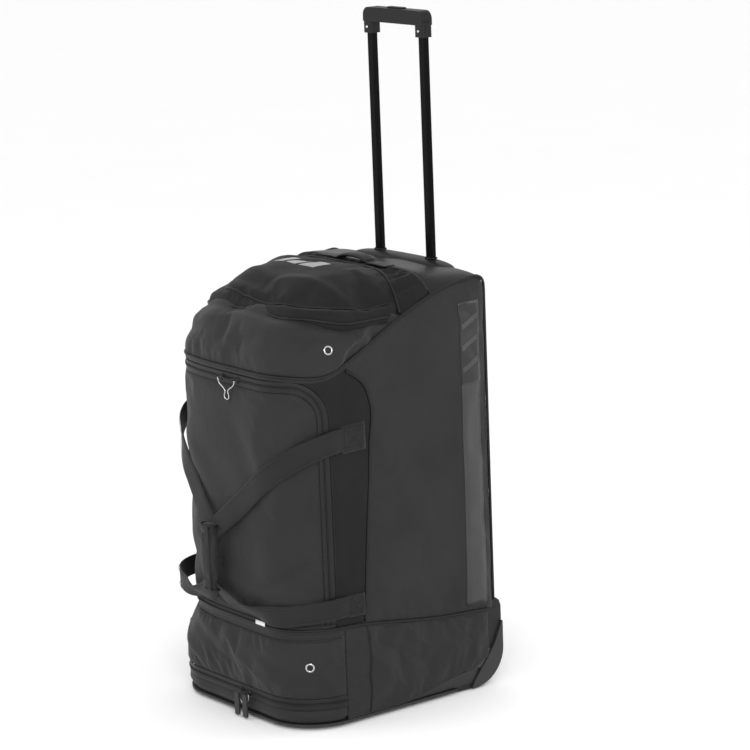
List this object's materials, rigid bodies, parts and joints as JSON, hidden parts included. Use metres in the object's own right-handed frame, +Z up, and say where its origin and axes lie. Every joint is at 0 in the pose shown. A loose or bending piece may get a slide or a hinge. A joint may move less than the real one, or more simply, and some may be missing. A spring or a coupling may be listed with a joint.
{
  "type": "wheeled bag with telescopic handle",
  "caption": "Upright wheeled gear bag with a padded front door, lidded top pocket, shoe compartment, carry straps and a pull-out trolley handle.",
  "frame": {"origin": "on the floor under the middle of the bag: the wheels and the front skids stand on z = 0", "axes": "+Z up along the pulled-out handle, -Y out of the front door, +Y towards the wheels and the handle, +X to the right side seen from the front"},
  "size_m": [0.4621, 0.54, 1.325],
  "materials": {
    "body_fabric": "fine woven polyester, matt",
    "coated_fabric": "smooth coated fabric, satin",
    "lining": "plain lining",
    "piping": "smooth bead, satin",
    "webbing": "ribbed webbing",
    "zip_tape": "coil zip on woven tape",
    "pull_rubber": "moulded, matt",
    "chrome_metal": "polished",
    "steel": "plain",
    "tube_metal": "black, gloss anodised",
    "grip_plastic": "fine grain",
    "housing_plastic": "moulded, fine grain",
    "guard_plastic": "moulded, grey, fine grain",
    "hub_plastic": "moulded",
    "tyre": "solid rubber, matt",
    "board": "stiff sheet",
    "foam": "closed-cell foam"
  },
  "bodies": {
    "bag": {"back_board": "board", "back_panel": "body_fabric", "ball_cradle": "foam", "base_skids": "housing_plastic", "base_tray": "housing_plastic", "body_piping": "piping", "crown_panel": "coated_fabric", "divider_floor": "board", "eyelets_upper": "chrome_metal", "frame_zip_tapes": "zip_tape", "front_header": "body_fabric", "front_sill": "body_fabric", "front_skirt": "body_fabric", "front_strip_left": "body_fabric", "front_strip_right": "body_fabric", "handle_bezel": "housing_plastic", "outer_tubes": "tube_metal", "pocket_floor": "body_fabric", "shoe_side_left": "body_fabric", "shoe_side_right": "body_fabric", "side_panel_left": "body_fabric", "side_panel_right": "body_fabric", "strap_patches": "webbing", "top_pocket_wall": "body_fabric", "trolley_lining": "lining", "tube_foot": "housing_plastic", "wheel_axles": "steel", "wheel_guards": "guard_plastic", "wheel_housing_left": "housing_plastic", "wheel_housing_right": "housing_plastic"},
    "front_door": {"door_panel": "body_fabric", "door_zip_tape": "zip_tape"},
    "top_lid": {"lid_panel": "body_fabric"},
    "shoe_flap": {"shoe_flap_panel": "body_fabric", "shoe_flap_zip_tape": "zip_tape", "eyelets_lower": "chrome_metal"},
    "carry_strap_right": {"carry_strap_right": "webbing", "handle_wrap": "webbing"},
    "carry_strap_left": {"carry_strap_left": "webbing"},
    "haul_handle": {"haul_handle": "webbing"},
    "trolley": {"inner_tubes": "tube_metal", "tube_plugs": "housing_plastic", "grip_front": "grip_plastic", "grip_rear": "grip_plastic", "handle_springs": "steel"},
    "release_button": {"release_button": "grip_plastic", "push_rods": "steel"},
    "lock_pin_left": {"lock_pin_left": "steel"},
    "lock_pin_right": {"lock_pin_right": "steel"},
    "wheel_left": {"tyre_left": "tyre", "wheel_hub_left": "hub_plastic"},
    "wheel_right": {"tyre_right": "tyre", "wheel_hub_right": "hub_plastic"},
    "main_zip_sliders": {"main_zip_sliders": "pull_rubber"},
    "main_zip_wire": {"main_zip_wire": "chrome_metal"},
    "shoe_zip_sliders": {"shoe_zip_sliders": "pull_rubber"},
    "shoe_zip_pulls": {"shoe_zip_wire": "chrome_metal", "shoe_pull_tabs": "pull_rubber"},
    "side_zip_slider": {"side_zip_slider": "pull_rubber"},
    "side_pull_tab": {"side_pull_tab": "pull_rubber"}
  },
  "joints": [
    {"name": "trolley_slide", "type": "slide", "parent": "bag", "child": "trolley", "axis": [0, 0, 1], "range_m": [-0.428, 0]},
    {"name": "button_press", "type": "slide", "parent": "trolley", "child": "release_button", "axis": [0, 0, -1], "range_m": [0, 0.005], "stiffness_N_per_m": 900, "springref_m": -0.004, "deforming": ["handle_springs"]},
    {"name": "lock_pin_left_slide", "type": "slide", "parent": "trolley", "child": "lock_pin_left", "axis": [-1, 0, 0], "range_m": [0, 0.0025]},
    {"name": "lock_pin_right_slide", "type": "slide", "parent": "trolley", "child": "lock_pin_right", "axis": [1, 0, 0], "range_m": [0, 0.0025]},
    {"name": "wheel_left_spin", "type": "hinge", "parent": "bag", "child": "wheel_left", "pos_m": [-0.196, 0.214, 0.052], "axis": [1, 0, 0], "continuous": true},
    {"name": "wheel_right_spin", "type": "hinge", "parent": "bag", "child": "wheel_right", "pos_m": [0.196, 0.214, 0.052], "axis": [1, 0, 0], "continuous": true},
    {"name": "front_door_hinge", "type": "hinge", "parent": "bag", "child": "front_door", "pos_m": [0, -0.224, 0.208], "axis": [1, 0, 0], "range_deg": [0, 95]},
    {"name": "carry_strap_right_swing", "type": "hinge", "parent": "bag", "child": "carry_strap_right", "pos_m": [0.225, -0.111, 0.4], "axis": [0, 0, 1], "range_deg": [0, 95], "deforming": ["carry_strap_right", "handle_wrap"]},
    {"name": "carry_strap_left_swing", "type": "hinge", "parent": "bag", "child": "carry_strap_left", "pos_m": [-0.225, -0.111, 0.4], "axis": [0, 0, -1], "range_deg": [0, 95], "deforming": ["carry_strap_left"]},
    {"name": "top_lid_hinge", "type": "hinge", "parent": "bag", "child": "top_lid", "pos_m": [0, 0.0405, 0.83], "axis": [-1, 0, 0], "range_deg": [0, 110]},
    {"name": "shoe_flap_hinge", "type": "hinge", "parent": "bag", "child": "shoe_flap", "pos_m": [0, -0.224, 0.178], "axis": [-1, 0, 0], "range_deg": [0, 70], "deforming": ["shoe_flap_panel", "shoe_flap_zip_tape"]},
    {"name": "haul_handle_tip", "type": "hinge", "parent": "bag", "child": "haul_handle", "pos_m": [0, 0.111, 0.8138], "axis": [-1, 0, 0], "range_deg": [-10, 50]},
    {"name": "main_zip_slide", "type": "slide", "parent": "front_door", "child": "main_zip_sliders", "axis": [1, 0, 0], "range_m": [-0.11, 0.04]},
    {"name": "main_zip_wire_swing", "type": "hinge", "parent": "main_zip_sliders", "child": "main_zip_wire", "pos_m": [0.038, -0.235, 0.669], "axis": [-1, 0, 0], "range_deg": [0, 100]},
    {"name": "shoe_zip_slide", "type": "slide", "parent": "shoe_flap", "child": "shoe_zip_sliders", "axis": [1, 0, 0], "range_m": [-0.12, 0.035]},
    {"name": "shoe_zip_pulls_swing", "type": "hinge", "parent": "shoe_zip_sliders", "child": "shoe_zip_pulls", "pos_m": [0.04, -0.2365, 0.0485], "axis": [-1, 0, 0], "range_deg": [0, 80]},
    {"name": "side_zip_slide", "type": "slide", "parent": "front_door", "child": "side_zip_slider", "axis": [0, 0, 1], "range_m": [-0.12, 0.07]},
    {"name": "side_pull_swing", "type": "hinge", "parent": "side_zip_slider", "child": "side_pull_tab", "pos_m": [-0.22643, -0.14899, 0.412], "axis": [-0.2666, 0.9638, 0], "range_deg": [0, 90]}
  ],
  "couplings": [
    {"joint": "lock_pin_left_slide", "follows": "button_press", "ratio": 0.5},
    {"joint": "lock_pin_right_slide", "follows": "button_press", "ratio": 0.5},
    {"joint": "carry_strap_right_swing", "follows": "front_door_hinge", "ratio": 1},
    {"joint": "carry_strap_left_swing", "follows": "front_door_hinge", "ratio": 1}
  ]
}
